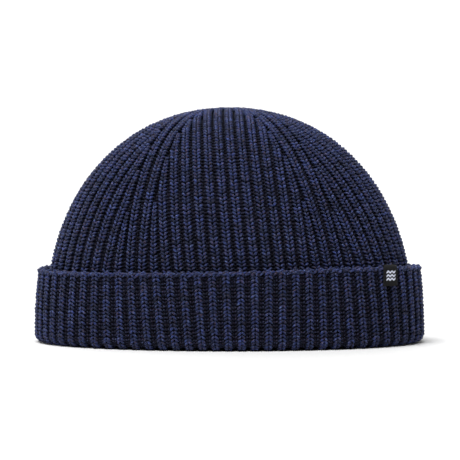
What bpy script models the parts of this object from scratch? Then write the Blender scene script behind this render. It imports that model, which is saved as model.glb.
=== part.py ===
"""Fisherman beanie: a ribbed knit crown, its turned-up cuff and a small woven label.

The hat stands on its rim. X runs from side to side, the front faces -Y, Z is up, and the origin is
the middle of the rim on the surface that the hat stands on.

The crown is a dome of one-by-one rib. Its ribs run in four panels, front, back and two sides. In a
panel they stay side by side at one pitch, so as the dome narrows the outer ones end against a
spine, a pair of ribs that runs from the rim to the gather at the top at each of four corners.
"""

import math

import bmesh
import bpy
import numpy as np

MM = 0.001

# Overall sizes.
CUFF_WIDTH = 220 * MM
CUFF_DEPTH = 146 * MM
HAT_HEIGHT = 132 * MM
CUFF_HEIGHT = 44 * MM

# The knit: crest to crest through one layer, and how far a rib's crest stands over its furrow.
KNIT_THICKNESS = 4.4 * MM
RIB_RELIEF = 1.7 * MM

# Air between the cuff and the crown, beside the fold and at the cuff's top edge.
FOLD_EASE = 1.3 * MM
TOP_EASE = 1.4 * MM

# The band under the fold that is pressed flat, the height of the fold and the gap over it.
REST_FLAT = 3 * MM
FOLD_HEIGHT = 6 * MM
PIECE_GAP = 0.3 * MM

# Powers of the dome's outline: (rise / height) ** RISE_POWER + spread ** SPREAD_POWER = 1.
RISE_POWER = 2.4
SPREAD_POWER = 2.1

# Ribs of each panel, with the one at each end that makes half of a spine. An odd number puts a
# crest on the panel's middle.
FRONT_RIBS = 16
SIDE_RIBS = 20

# A spine's place, as a share of the half width, and how much narrower the ribs are at the top.
CORNER_SHARE = 0.555
TOP_NARROWING = 0.19

# A rib runs out over this share of the pitch beside a spine, and inside this share of the width
# the last ribs flatten into the point where they all gather. That point lies behind the top of the
# dome and a little beside it, so the front ribs run on over the top.
RIB_END = 0.35
GATHER_SHARE = 0.08
GATHER_BACK = 14 * MM
GATHER_ASIDE = -2.5 * MM

# The ribs turn a little round the hat on their way up, as knitted tubes do.
TURN_AT_CUFF = math.radians(2.2)
TURN_TO_TOP = math.radians(-5.3)

# How the cuff was turned up by hand: its edge stands higher round one place at the front right and
# lower at the two ends, its ribs slipped round a little, and they lean, more in some places than in
# others, from the height where they run true.
CUFF_TURN = math.radians(-0.7)
END_DROP = 2.2 * MM
EDGE_RISE = 3.0 * MM
EDGE_RISE_PLACE = math.radians(52)
EDGE_RISE_SPAN = math.radians(75)
LEAN = math.radians(1.05)
LEAN_SWING = math.radians(1.25)
LEAN_WAVES = 5
LEAN_PLACE = math.radians(-20)
LEAN_HEIGHT = 24 * MM

# The label, folded over the cuff's top edge.
LABEL_WIDTH = 11 * MM
LABEL_FRONT = 10.6 * MM
LABEL_BACK = 5 * MM
LABEL_THICKNESS = 0.6 * MM
LABEL_PLACE = math.radians(56.1)

# How finely the solids are cut into facets.
RIB_SECTION = (0.0, 0.8, 1.0, 0.8)
CROWN_ROWS = 11
LINING_ROWS = 7
CUFF_FACE_ROWS = 3
LABEL_COLUMNS = 4
WELD = 0.002 * MM

NAVY = (0.022, 0.027, 0.062, 1.0)
LABEL_BLACK = (0.012, 0.012, 0.014, 1.0)

# Half sizes of the crown at the rim, over its crests.
CROWN_HALF_WIDTH = CUFF_WIDTH / 2 - KNIT_THICKNESS - FOLD_EASE
CROWN_HALF_DEPTH = CUFF_DEPTH / 2 - KNIT_THICKNESS - FOLD_EASE
SPINE_ANGLE = math.asin(CORNER_SHARE)
STEPS = len(RIB_SECTION)
PHASES = np.arange(STEPS + 1) / STEPS


def dome(turn):
    """Rise and spread of the dome at a turn from 0 at the rim to a quarter at the top."""
    rise = HAT_HEIGHT * np.sin(turn) ** (2 / RISE_POWER)
    spread = np.maximum(np.cos(turn), 0) ** (2 / SPREAD_POWER)
    return rise, spread


def turn_at_rise(rise):
    return math.asin((rise / HAT_HEIGHT) ** (RISE_POWER / 2))


def even_turns(first_rise, rows):
    """Turns from first_rise to the top, spaced evenly along the dome's mean outline."""
    fine = np.linspace(turn_at_rise(first_rise), math.pi / 2, 400)
    rise, spread = dome(fine)
    radius = spread * (CROWN_HALF_WIDTH + CROWN_HALF_DEPTH) / 2
    length = np.concatenate([[0], np.cumsum(np.hypot(np.diff(rise), np.diff(radius)))])
    return np.interp(np.linspace(0, length[-1], rows + 1), length, fine)


def girth_table(half_width, half_depth):
    """Angles round an ellipse and the arc length from the front to each of them."""
    angle = np.linspace(-math.pi, 3 * math.pi, 2881)
    middle = (angle[1:] + angle[:-1]) / 2
    rate = np.hypot(half_width * np.cos(middle), half_depth * np.sin(middle))
    length = np.concatenate([[0], np.cumsum(rate * np.diff(angle))])
    return angle, length - np.interp(0, angle, length)


def panels():
    """Middle angle, half span and number of ribs of each panel, going round from the front."""
    side = math.pi / 2 - SPINE_ANGLE
    return [
        (0.0, SPINE_ANGLE, FRONT_RIBS),
        (math.pi / 2, side, SIDE_RIBS),
        (math.pi, SPINE_ANGLE, FRONT_RIBS),
        (math.pi * 3 / 2, side, SIDE_RIBS),
    ]


def rib_row(spread, narrowing, shift=0.0):
    """Angle and crest height of every column round the hat where the dome has this spread.

    Each rib has STEPS columns. In a panel they lie at one pitch from its middle, and those past the
    spine fold onto the spine's edge, where the weld makes them one.
    """
    angle, length = girth_table(CROWN_HALF_WIDTH, CROWN_HALF_DEPTH)
    cuff_spread = dome(turn_at_rise(CUFF_HEIGHT))[1]
    above_cuff = spread < cuff_spread
    angles = []
    heights = []
    for middle, half_span, ribs in panels():
        start = np.interp(middle, angle, length)
        reach = np.interp(middle + half_span, angle, length) - start
        half = ribs / 2
        column = np.arange(ribs * STEPS) / STEPS + shift
        pitch = reach * (cuff_spread * narrowing if above_cuff else spread) / half
        spine = min(pitch, reach * spread)
        edge = reach * spread - spine
        place = np.abs(column - half)
        in_spine = place > half - 1
        along = np.minimum(place * pitch, edge)
        along = np.where(in_spine, edge + (place - half + 1) * spine, along)
        crest = np.interp(column % 1.0, PHASES, RIB_SECTION + RIB_SECTION[:1])
        if above_cuff:
            room = np.clip((edge - along) / (RIB_END * pitch), 0, 1)
            crest = crest * np.where(in_spine, 1.0, room)
        crest = 1 - (1 - crest) * min(1.0, spread / GATHER_SHARE)
        arc = start + np.sign(column - half) * along / max(spread, 1e-9)
        angles.append(np.interp(arc, length, angle))
        heights.append(crest)
    return np.concatenate(angles), np.concatenate(heights)


def dome_points(angle, spread):
    """Points of the dome and the outward direction there, on the ribs' level with this spread.

    Seen from above the levels are ellipses. Above the cuff they shift towards the gather, and each
    point's rise follows from its own place in the dome's outline.
    """
    cuff_spread = dome(turn_at_rise(CUFF_HEIGHT))[1]
    shift = (1 - min(spread / cuff_spread, 1) ** 2) ** 2
    aside = spread * np.sin(angle) + shift * GATHER_ASIDE / CROWN_HALF_WIDTH
    back = -spread * np.cos(angle) + shift * GATHER_BACK / CROWN_HALF_DEPTH
    reach = np.maximum(np.hypot(aside, back), 1e-6)
    rise = (1 - reach**SPREAD_POWER) ** (1 / RISE_POWER)
    foot = [CROWN_HALF_WIDTH * aside, CROWN_HALF_DEPTH * back, HAT_HEIGHT * rise]
    bend = SPREAD_POWER * reach ** (SPREAD_POWER - 2)
    lift = RISE_POWER * rise ** (RISE_POWER - 1) / HAT_HEIGHT
    out = np.stack([bend * aside / CROWN_HALF_WIDTH, bend * back / CROWN_HALF_DEPTH, lift], axis=1)
    return np.stack(foot, axis=1), out / np.linalg.norm(out, axis=1, keepdims=True)


def crown_row(turn, depth, coarse):
    """One row of the crown's skin: depth 0 is the outer skin, 1 the inner one."""
    rise, spread = dome(turn)
    share = max(rise - CUFF_HEIGHT, 0) / (HAT_HEIGHT - CUFF_HEIGHT)
    angle, crest = rib_row(float(spread), 1 - TOP_NARROWING * share**2)
    foot, out = dome_points(angle + TURN_AT_CUFF + TURN_TO_TOP * share, float(spread))
    lift = RIB_RELIEF * (crest - 1) - depth * (KNIT_THICKNESS - RIB_RELIEF)
    return thinned(foot + out * lift[:, None], coarse)


def thinned(points, coarse):
    """A coarse row keeps every second column, by laying each odd one on the column before it."""
    if coarse:
        points[1::2] = points[0::2]
    return points


def skin(name, rows, closed, material):
    """A solid from rows of points. Its faces join each row to the next, and double points weld.

    A closed list of rows is a ring's section, and its last row joins the first. An open one starts
    and ends in a point.
    """
    count = len(rows[0])
    shape = bmesh.new()
    verts = [[shape.verts.new(point) for point in row] for row in rows]
    pairs = list(zip(verts, verts[1:]))
    if closed:
        pairs.append((verts[-1], verts[0]))
    for low, high in pairs:
        for i in range(count):
            j = (i + 1) % count
            shape.faces.new((low[i], low[j], high[j], high[i]))
    bmesh.ops.remove_doubles(shape, verts=shape.verts, dist=WELD)
    bmesh.ops.triangulate(shape, faces=shape.faces)
    bmesh.ops.recalc_face_normals(shape, faces=shape.faces)
    return finished(name, shape, material)


def finished(name, shape, material):
    mesh = bpy.data.meshes.new(name)
    shape.to_mesh(mesh)
    shape.free()
    mesh.shade_smooth()
    mesh.set_sharp_from_angle(angle=math.radians(60))
    mesh.materials.append(material)
    piece = bpy.data.objects.new(name, mesh)
    bpy.context.scene.collection.objects.link(piece)
    return piece


def crown(material):
    """The dome: its outer skin from the top down to the rim, then its inner skin back up."""
    bottom = turn_at_rise(FOLD_HEIGHT + PIECE_GAP)
    outer = even_turns(CUFF_HEIGHT, CROWN_ROWS)
    inner = even_turns(CUFF_HEIGHT, LINING_ROWS)
    rows = [crown_row(turn, 0, False) for turn in outer[::-1]]
    rows.append(crown_row(bottom, 0, True))
    rows.append(crown_row(bottom, 1, True))
    rows += [crown_row(turn, 1, True) for turn in inner]
    return skin("crown", rows, False, material)


def cuff_lean(height):
    """How far the cuff's face leans in at a height, so that its top edge keeps TOP_EASE."""
    spread = dome(turn_at_rise(CUFF_HEIGHT))[1]
    top = FOLD_EASE + CROWN_HALF_DEPTH * (1 - spread) - TOP_EASE
    share = max(height - FOLD_HEIGHT, 0) / (CUFF_HEIGHT - FOLD_HEIGHT)
    return float(top * share**2)


def face_section(first, last, rows):
    """Inset, height and outward direction of the cuff's outer face, from first to last height."""
    return [
        (cuff_lean(height), height, 1.0, 0.0) for height in np.linspace(first, last, rows)
    ]


def edge_section(angles):
    """The round top edge: a half circle of the knit's thickness, from the outer face inwards."""
    radius = KNIT_THICKNESS / 2
    height = CUFF_HEIGHT - radius
    inset = cuff_lean(height) + radius
    return [
        (
            inset - radius * math.cos(a),
            height + radius * math.sin(a),
            math.cos(a),
            math.sin(a),
        )
        for a in np.radians(angles)
    ]


def turned_up(height, angle):
    """Height and angle of the cuff's points, from those of an even cuff with upright ribs."""
    share = max(height - FOLD_HEIGHT, 0) / (CUFF_HEIGHT - FOLD_HEIGHT)
    away = (angle - EDGE_RISE_PLACE + math.pi) % (2 * math.pi) - math.pi
    near = (1 + np.cos(math.pi * np.clip(away / EDGE_RISE_SPAN, -1, 1))) / 2
    lean = LEAN + LEAN_SWING * np.cos(LEAN_WAVES * (angle - LEAN_PLACE))
    drop = (LEAN_HEIGHT - height) / CUFF_HEIGHT
    rise = EDGE_RISE * near - END_DROP * np.sin(angle) ** 2
    return height + rise * share**2, angle + lean * drop


def cuff_point(inset, height, angle):
    """A point inset from the cuff's crest ellipse by this much, at this height."""
    height, angle = turned_up(height, angle)
    half_width, half_depth = CUFF_WIDTH / 2, CUFF_DEPTH / 2
    sine, cosine = np.sin(angle), np.cos(angle)
    out = np.stack([half_depth * sine, -half_width * cosine, 0 * angle], axis=1)
    out /= np.linalg.norm(out, axis=1, keepdims=True)
    foot = np.stack([half_width * sine, -half_depth * cosine, 0 * angle + height], axis=1)
    return foot - out * inset, out


def cuff_row(section, relief, coarse):
    """One row round the cuff. relief is 1 on the shown skin, -1 on the hidden one, 0 where flat.

    The cuff shows the back of the same knit, so its crests lie over the crown's furrows.
    """
    inset, height, outward, upward = section
    angle, crest = rib_row(1.0, 1.0, shift=0.5)
    points, out = cuff_point(inset, height, angle + CUFF_TURN)
    shown = crest if relief > 0 else 1 - crest
    lift = RIB_RELIEF * (shown - 1) * abs(relief)
    up = np.array([0.0, 0.0, 1.0])
    points = points + (out * outward + up * upward) * lift[:, None]
    return thinned(points, coarse)


def cuff(material):
    """The turned-up band: outer face, round top edge, hidden face, and the fold under the rim."""
    fold = KNIT_THICKNESS + FOLD_EASE / 2
    top = CUFF_HEIGHT - KNIT_THICKNESS / 2
    slant = math.sqrt(0.5)
    foot = fold * (1 - slant)
    flat = REST_FLAT / 2
    inside = 2 * fold
    rows = [cuff_row(s, 1, False) for s in face_section(fold, top, CUFF_FACE_ROWS)]
    outer_edge, inner_edge = edge_section((60, 120))
    rows.append(cuff_row(outer_edge, 1, False))
    rows.append(cuff_row(inner_edge, -1, True))
    rows.append(cuff_row((cuff_lean(top) + KNIT_THICKNESS, top, -1, 0), -1, True))
    rows.append(cuff_row((KNIT_THICKNESS, FOLD_HEIGHT, -1, 0), -1, True))
    rows.append(cuff_row((inside, FOLD_HEIGHT, -1, 0), 1, True))
    rows.append(cuff_row((inside - foot, foot, -slant, -slant), 1, True))
    rows.append(cuff_row((fold + flat, 0, 0, -1), 0, True))
    rows.append(cuff_row((fold - flat, 0, 0, -1), 0, True))
    rows.append(cuff_row((foot, foot, slant, -slant), 1, False))
    return skin("cuff", rows, True, material)


def label(material):
    """A woven strip folded over the cuff's top edge, clear of its crests by PIECE_GAP."""
    top = CUFF_HEIGHT - KNIT_THICKNESS / 2
    front = face_section(CUFF_HEIGHT - LABEL_FRONT, top, 4)
    over = edge_section((45, 90, 135))
    back = [
        (cuff_lean(height) + KNIT_THICKNESS, height, -1.0, 0.0)
        for height in (top, CUFF_HEIGHT - LABEL_BACK)
    ]
    angle, length = girth_table(CUFF_WIDTH / 2, CUFF_DEPTH / 2)
    middle = np.interp(LABEL_PLACE, angle, length)
    across = np.linspace(-LABEL_WIDTH / 2, LABEL_WIDTH / 2, LABEL_COLUMNS + 1)
    places = np.interp(middle + across, length, angle)

    def layer(lift):
        return [
            cuff_point(inset - outward * lift, height + upward * lift, places)[0]
            for inset, height, outward, upward in front + over + back
        ]

    near, far = layer(PIECE_GAP), layer(PIECE_GAP + LABEL_THICKNESS)
    loop = far + near[::-1]
    shape = bmesh.new()
    verts = [[shape.verts.new(point) for point in row] for row in loop]
    for row, following in zip(verts, verts[1:] + verts[:1]):
        for i in range(LABEL_COLUMNS):
            shape.faces.new((row[i], row[i + 1], following[i + 1], following[i]))
    outer, inner = verts[: len(far)], verts[len(far) :][::-1]
    for side in (0, -1):
        for k in range(len(far) - 1):
            shape.faces.new((outer[k][side], outer[k + 1][side], inner[k + 1][side], inner[k][side]))
    bmesh.ops.recalc_face_normals(shape, faces=shape.faces)
    return finished("label", shape, material)


def finish_material(name, colour, roughness):
    material = bpy.data.materials.new(name)
    material.use_nodes = True
    shader = material.node_tree.nodes["Principled BSDF"]
    shader.inputs["Base Color"].default_value = colour
    shader.inputs["Roughness"].default_value = roughness
    shader.inputs["Metallic"].default_value = 0.0
    return material


def main():
    for thing in list(bpy.data.objects):
        bpy.data.objects.remove(thing)
    knit = finish_material("navy_knit", NAVY, 0.9)
    woven = finish_material("black_weave", LABEL_BLACK, 0.7)
    crown(knit)
    cuff(knit)
    label(woven)


main()
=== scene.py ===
# %% [markdown]
# # A fisherman beanie, stitch by stitch
#
# This lesson dresses a plain solid of a knitted hat. The hat is a chunky one-by-one rib in navy
# wool: a dome that is narrowed along four spines, a cuff that is turned up outside it, and a small
# woven tab folded over the cuff's edge. What makes it look knitted is its stitches, so each one is
# a pair of yarn legs, laid along the same ribs that the solid has.

# %% Load the solid
import math

import bpy
import numpy as np
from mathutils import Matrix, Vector


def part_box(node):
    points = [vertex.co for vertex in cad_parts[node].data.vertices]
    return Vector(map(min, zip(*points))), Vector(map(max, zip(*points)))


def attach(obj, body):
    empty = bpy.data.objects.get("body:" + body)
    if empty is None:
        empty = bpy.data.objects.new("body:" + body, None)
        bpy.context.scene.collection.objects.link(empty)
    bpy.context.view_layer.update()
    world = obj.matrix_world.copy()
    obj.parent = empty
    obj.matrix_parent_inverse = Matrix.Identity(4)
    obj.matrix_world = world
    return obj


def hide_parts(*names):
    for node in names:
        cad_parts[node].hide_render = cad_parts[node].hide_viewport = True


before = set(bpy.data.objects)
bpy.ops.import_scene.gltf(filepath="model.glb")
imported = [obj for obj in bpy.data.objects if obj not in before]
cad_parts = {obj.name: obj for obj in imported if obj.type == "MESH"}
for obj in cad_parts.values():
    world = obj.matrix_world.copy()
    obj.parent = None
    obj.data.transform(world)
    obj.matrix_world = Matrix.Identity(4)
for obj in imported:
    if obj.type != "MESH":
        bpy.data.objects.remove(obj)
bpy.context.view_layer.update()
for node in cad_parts:
    low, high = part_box(node)
    print(node, "measures", [round((b - a) * 1000, 1) for a, b in zip(low, high)], "mm")

# %% [markdown]
# ## Named sizes
#
# The hat stands on its rim: X runs from side to side, the front faces -Y and Z is up. These sizes
# and laws are the solid's own, so that yarn lands on its surface. The dome's outline is a soft
# power curve, which follows the photograph closer than a circle or an ellipse does.

# %% Sizes of the hat
MM = 0.001
HAT_HEIGHT = 132 * MM
CUFF_WIDTH, CUFF_DEPTH, CUFF_HEIGHT = 220 * MM, 146 * MM, 44 * MM
KNIT_THICKNESS, FOLD_EASE, TOP_EASE = 4.4 * MM, 1.3 * MM, 1.4 * MM
FOLD_HEIGHT, PIECE_GAP = 6 * MM, 0.3 * MM
RISE_POWER, SPREAD_POWER = 2.4, 2.1
FRONT_RIBS, SIDE_RIBS = 16, 20
CORNER_ANGLE = math.asin(0.555)
TOP_NARROWING = 0.19
TURN_AT_CUFF, TURN_TO_TOP = math.radians(2.2), math.radians(-5.3)
GATHER_BACK, GATHER_ASIDE = 14 * MM, -2.5 * MM

# The cuff was turned up by hand: its edge stands higher at one place and lower at the two ends,
# and its ribs slipped round a little and lean.
CUFF_TURN, END_DROP = math.radians(-0.7), 2.2 * MM
EDGE_RISE, EDGE_RISE_PLACE, EDGE_RISE_SPAN = 3.0 * MM, math.radians(52), math.radians(75)
LEAN, LEAN_SWING, LEAN_WAVES = math.radians(1.05), math.radians(1.25), 5
LEAN_PLACE, LEAN_HEIGHT = math.radians(-20), 24 * MM

LABEL_WIDTH, LABEL_FRONT, LABEL_BACK = 11 * MM, 10.6 * MM, 5 * MM
LABEL_THICKNESS, LABEL_PLACE = 0.6 * MM, math.radians(56.1)

CROWN_HALF_WIDTH = CUFF_WIDTH / 2 - KNIT_THICKNESS - FOLD_EASE
CROWN_HALF_DEPTH = CUFF_DEPTH / 2 - KNIT_THICKNESS - FOLD_EASE

# The stitch: the usual width of a rib, and the height of a row on the crown and on the cuff.
RIB_PITCH = 7.1 * MM
CROWN_ROW, CUFF_ROW = 2.12 * MM, 2.05 * MM

# A ribbed skin's wave is a raised cosine to this power, so its crests are rounder than its furrows.
CREST_POWER = 0.7

# A turn inside the cuff, where every rib still has its full width.
INSIDE_CUFF = np.array(0.2)
chance = np.random.default_rng(18)

# %% [markdown]
# ## The dome and its ribs
#
# A rib is a line drawn up the dome. On the real hat the ribs of a panel run side by side at one
# pitch, and the outer ones end against a spine, where two stitches are knitted into one. So a rib's
# place is measured along the level curve from its panel's middle, and not as an angle. All ribs
# gather in one point behind the top, so from the front they run on over it.


# %% The dome's surface
def dome(turn):
    """Rise and spread for a turn from 0 at the rim to a quarter at the top.

    rise = height * sin(turn) ** (2 / RISE_POWER), spread = cos(turn) ** (2 / SPREAD_POWER).
    """
    rise = HAT_HEIGHT * np.sin(turn) ** (2 / RISE_POWER)
    return rise, np.maximum(np.cos(turn), 0) ** (2 / SPREAD_POWER)


def turn_at_rise(rise):
    """The turn at a height, from rise = height * sin(turn) ** (2 / RISE_POWER)."""
    return math.asin((rise / HAT_HEIGHT) ** (RISE_POWER / 2))


def unit(vectors):
    """Vectors of length one, along the last axis."""
    return vectors / np.maximum(np.linalg.norm(vectors, axis=-1, keepdims=True), 1e-12)


CUFF_SPREAD = float(dome(turn_at_rise(CUFF_HEIGHT))[1])


def crown_points(angle, turn):
    """Points on the crests of the dome and the outward direction there, for equal-sized arrays.

    The angle goes round from the front towards +X, and turns back a little on the way up. In the
    plan, in half sizes, a point is (spread * sin, -spread * cos) plus a shift towards the gather of
    (1 - (spread / spread at the cuff) ** 2) ** 2. Its reach from the middle then gives its rise:
    (rise / height) ** RISE_POWER = 1 - reach ** SPREAD_POWER.
    """
    rise, spread = dome(turn)
    share = np.maximum(rise - CUFF_HEIGHT, 0) / (HAT_HEIGHT - CUFF_HEIGHT)
    angle = angle + TURN_AT_CUFF + TURN_TO_TOP * share
    shift = (1 - np.minimum(spread / CUFF_SPREAD, 1) ** 2) ** 2
    half_x, half_y = CROWN_HALF_WIDTH, CROWN_HALF_DEPTH
    aside = spread * np.sin(angle) + shift * GATHER_ASIDE / half_x
    back = -spread * np.cos(angle) + shift * GATHER_BACK / half_y
    reach = np.maximum(np.hypot(aside, back), 1e-6)
    level = np.maximum(1 - reach**SPREAD_POWER, 0) ** (1 / RISE_POWER)
    foot = np.stack([half_x * aside, half_y * back, HAT_HEIGHT * level], axis=-1)
    bend = SPREAD_POWER * reach ** (SPREAD_POWER - 2)
    lift = RISE_POWER * level ** (RISE_POWER - 1) / HAT_HEIGHT
    return foot, unit(np.stack([bend * aside / half_x, bend * back / half_y, lift], axis=-1))


# %% Where each rib runs
def girth_table(half_width, half_depth):
    """Angles round an ellipse and the length of its edge from the front to each of them."""
    angle = np.linspace(-math.pi, 3 * math.pi, 2881)
    middle = (angle[1:] + angle[:-1]) / 2
    rate = np.hypot(half_width * np.cos(middle), half_depth * np.sin(middle))
    length = np.concatenate([[0], np.cumsum(rate * np.diff(angle))])
    return angle, length - np.interp(0, angle, length)


GIRTH_ANGLE, GIRTH_LENGTH = girth_table(CROWN_HALF_WIDTH, CROWN_HALF_DEPTH)
SIDE_SPAN = math.pi / 2 - CORNER_ANGLE
PANELS = {
    "front": (0.0, CORNER_ANGLE, FRONT_RIBS),
    "left": (math.pi / 2, SIDE_SPAN, SIDE_RIBS),
    "back": (math.pi, CORNER_ANGLE, FRONT_RIBS),
    "right": (math.pi * 3 / 2, SIDE_SPAN, SIDE_RIBS),
}


FADE_PITCHES = 0.3


def column_angle(panel, column, turn, whole_rib=False):
    """Angle of a rib column at each turn, its width in metres, and the share that is left of it.

    Column 0 is the middle of the spine at the panel's start, and half numbers are crests. A column
    keeps its distance from the panel's middle until it meets the spine, and a spine's own columns
    have no end. A line fades out where it comes within FADE_PITCHES of the spine. A whole rib
    keeps its inner edge and loses width from its outer one: left = (edge - place * pitch) / pitch
    + a half, and its middle moves in by half of what is lost.
    """
    middle, half_span, ribs = PANELS[panel]
    rise, spread = dome(turn)
    share = np.maximum(rise - CUFF_HEIGHT, 0) / (HAT_HEIGHT - CUFF_HEIGHT)
    start = np.interp(middle, GIRTH_ANGLE, GIRTH_LENGTH)
    reach = np.interp(middle + half_span, GIRTH_ANGLE, GIRTH_LENGTH) - start
    half = ribs / 2
    above = spread < CUFF_SPREAD
    level = np.where(above, CUFF_SPREAD * (1 - TOP_NARROWING * share**2), spread)
    pitch = reach * level / half
    spine = np.minimum(pitch, reach * spread)
    edge = reach * spread - spine
    place = abs(column - half)
    room = edge - place * pitch
    if place > half - 1:
        along, width, left = edge + (place - half + 1) * spine, spine, 1 + 0 * turn
    elif whole_rib:
        left = np.where(above, np.clip(room / pitch + 0.5, 0, 1), 1)
        along, width = (place - (1 - left) / 2) * pitch, pitch
    else:
        left = np.where(above, np.clip(room / (FADE_PITCHES * pitch), 0, 1), 1)
        along, width = np.minimum(place * pitch, edge), pitch
    arc = start + math.copysign(1, column - half) * along / np.maximum(spread, 1e-9)
    return np.interp(arc, GIRTH_LENGTH, GIRTH_ANGLE), width, left


print("ribs round the hat:", sum(ribs for _, _, ribs in PANELS.values()))

# %% [markdown]
# ## The cuff's section
#
# The cuff is one short section carried round the hat: over the top edge, down the shown face, round
# the soft fold and a little way up inside. Its face leans in towards the top, as the crown under it
# does. Near the edge and the fold the knit is squeezed, so its ribs stand less high there.


# %% The cuff's section
def cuff_lean(height):
    """How far the face leans in at a height: it grows with the square of the height."""
    top = FOLD_EASE + CROWN_HALF_DEPTH * (1 - CUFF_SPREAD) - TOP_EASE
    share = np.maximum(height - FOLD_HEIGHT, 0) / (CUFF_HEIGHT - FOLD_HEIGHT)
    return top * share**2


def cuff_section(samples=240):
    """Inset, height and length along the cuff's crest line, evenly spaced.

    The line goes up the hidden face, over the half circle of the top edge, down the shown face,
    round the half circle of the fold and up to the inner lip.
    """
    radius = KNIT_THICKNESS / 2
    fold = KNIT_THICKNESS + FOLD_EASE / 2
    top = CUFF_HEIGHT - radius
    hidden = np.linspace(CUFF_HEIGHT - LABEL_BACK, top, 6)[:-1]
    back = np.stack([cuff_lean(hidden) + KNIT_THICKNESS, hidden], axis=1)
    over = np.radians(np.linspace(180, 0, 13))
    edge = np.stack(
        [cuff_lean(top) + radius - radius * np.cos(over), top + radius * np.sin(over)], axis=1
    )
    heights = np.linspace(top, fold, 24)[1:]
    face = np.stack([cuff_lean(heights), heights], axis=1)
    under = np.radians(np.linspace(180, 360, 19))[1:]
    bend = np.stack([fold + fold * np.cos(under), fold + fold * np.sin(under)], axis=1)
    lip = np.array([[2 * fold, FOLD_HEIGHT]])
    line = np.concatenate([back, edge, face, bend, lip])
    length = np.concatenate([[0], np.cumsum(np.linalg.norm(np.diff(line, axis=0), axis=1))])
    even = np.linspace(0, length[-1], samples)
    return np.interp(even, length, line[:, 0]), np.interp(even, length, line[:, 1]), even


def turned_up(height, angle):
    """Height and angle of the cuff's points, from those of an even cuff with upright ribs.

    The rise is a cosine hill round one place less a drop that grows with sin(angle) ** 2, times
    the square of the share of the height. The lean is a mean turn and a wave round the hat,
    times the distance below LEAN_HEIGHT.
    """
    share = np.maximum(height - FOLD_HEIGHT, 0) / (CUFF_HEIGHT - FOLD_HEIGHT)
    away = (angle - EDGE_RISE_PLACE + math.pi) % (2 * math.pi) - math.pi
    near = (1 + np.cos(math.pi * np.clip(away / EDGE_RISE_SPAN, -1, 1))) / 2
    lean = LEAN + LEAN_SWING * np.cos(LEAN_WAVES * (angle - LEAN_PLACE))
    drop = (LEAN_HEIGHT - height) / CUFF_HEIGHT
    rise = EDGE_RISE * near - END_DROP * np.sin(angle) ** 2
    return height + rise * share**2, angle + lean * drop


def cuff_points(angle, inset, height, inset_rate, height_rate):
    """Points of the cuff and the outward direction, for arrays that broadcast together.

    The point is inset from the cuff's ellipse along its normal, and the outward direction is
    square to the section's own line.
    """
    angle, inset, height = np.broadcast_arrays(angle, inset, height)
    height, angle = turned_up(height, angle + CUFF_TURN)
    half_x, half_y = CUFF_WIDTH / 2, CUFF_DEPTH / 2
    sine, cosine = np.sin(angle), np.cos(angle)
    flat = unit(np.stack([half_y * sine, -half_x * cosine, 0 * angle], axis=-1))
    up = np.array([0.0, 0.0, 1.0])
    point = np.stack([half_x * sine, -half_y * cosine, 0 * angle], axis=-1)
    point = point - flat * inset[..., None] + up * height[..., None]
    rates = np.broadcast_arrays(inset_rate, height_rate, angle)
    out = unit(flat * -rates[1][..., None] - up * rates[0][..., None])
    return point, out


def squeeze(height):
    """Share of the full relief at a height of the cuff: a third at its edge and its fold.

    It is full from 9 mm above the rim up to 7 mm below the edge.
    """
    return np.clip(np.minimum(height / 9, (CUFF_HEIGHT - height) / 7) / MM, 0.33, 1)


SECTION_INSET, SECTION_HEIGHT, SECTION_LENGTH = cuff_section()
INSET_RATE = np.gradient(SECTION_INSET, SECTION_LENGTH)
HEIGHT_RATE = np.gradient(SECTION_HEIGHT, SECTION_LENGTH)

# The cast-on edge lies 15 degrees past the top of the half circle, on its shown side.
EDGE_LENGTH = LABEL_BACK - KNIT_THICKNESS / 2 + math.radians(105) * KNIT_THICKNESS / 2
print("length of knit in the cuff's section:", round(SECTION_LENGTH[-1] / MM, 1), "mm")

# %% [markdown]
# ## One way to make every mesh
#
# Every piece below is a grid of points: rows along one direction, columns along another. One helper
# turns such grids into a mesh, with UV maps that a pattern can follow. A length of yarn is a grid
# that closes round, and thousands of lengths are one array with one more axis.


# %% Grids to meshes
def mesh_piece(name, points, quads, uv_maps, material):
    """A mesh object from points (n, 3), quads (m, 4) and {name: UV pairs (m, 4, 2)}."""
    mesh = bpy.data.meshes.new(name)
    mesh.vertices.add(len(points))
    mesh.vertices.foreach_set("co", points.astype(np.float32).ravel())
    mesh.loops.add(quads.size)
    mesh.loops.foreach_set("vertex_index", quads.astype(np.int32).ravel())
    mesh.polygons.add(len(quads))
    mesh.polygons.foreach_set("loop_start", np.arange(0, quads.size, 4, dtype=np.int32))
    mesh.polygons.foreach_set("use_smooth", np.ones(len(quads), dtype=bool))
    for label, uv in uv_maps.items():
        mesh.uv_layers.new(name=label).data.foreach_set("uv", uv.astype(np.float32).ravel())
    mesh.materials.append(material)
    mesh.update(calc_edges=True)
    mesh.validate()
    piece = bpy.data.objects.new(name, mesh)
    bpy.context.scene.collection.objects.link(piece)
    return piece


def grid_quads(rows, columns, closed_rows=False, closed_columns=False):
    """Corner numbers of a grid's quads, and each corner's row and column before any wrap."""
    r = np.arange(rows if closed_rows else rows - 1)
    c = np.arange(columns if closed_columns else columns - 1)
    r, c = (a.ravel() for a in np.meshgrid(r, c, indexing="ij"))
    corner_rows = np.stack([r, r, r + 1, r + 1], axis=1)
    corner_columns = np.stack([c, c + 1, c + 1, c], axis=1)
    quads = (corner_rows % rows) * columns + corner_columns % columns
    return quads, corner_rows, corner_columns


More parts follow.
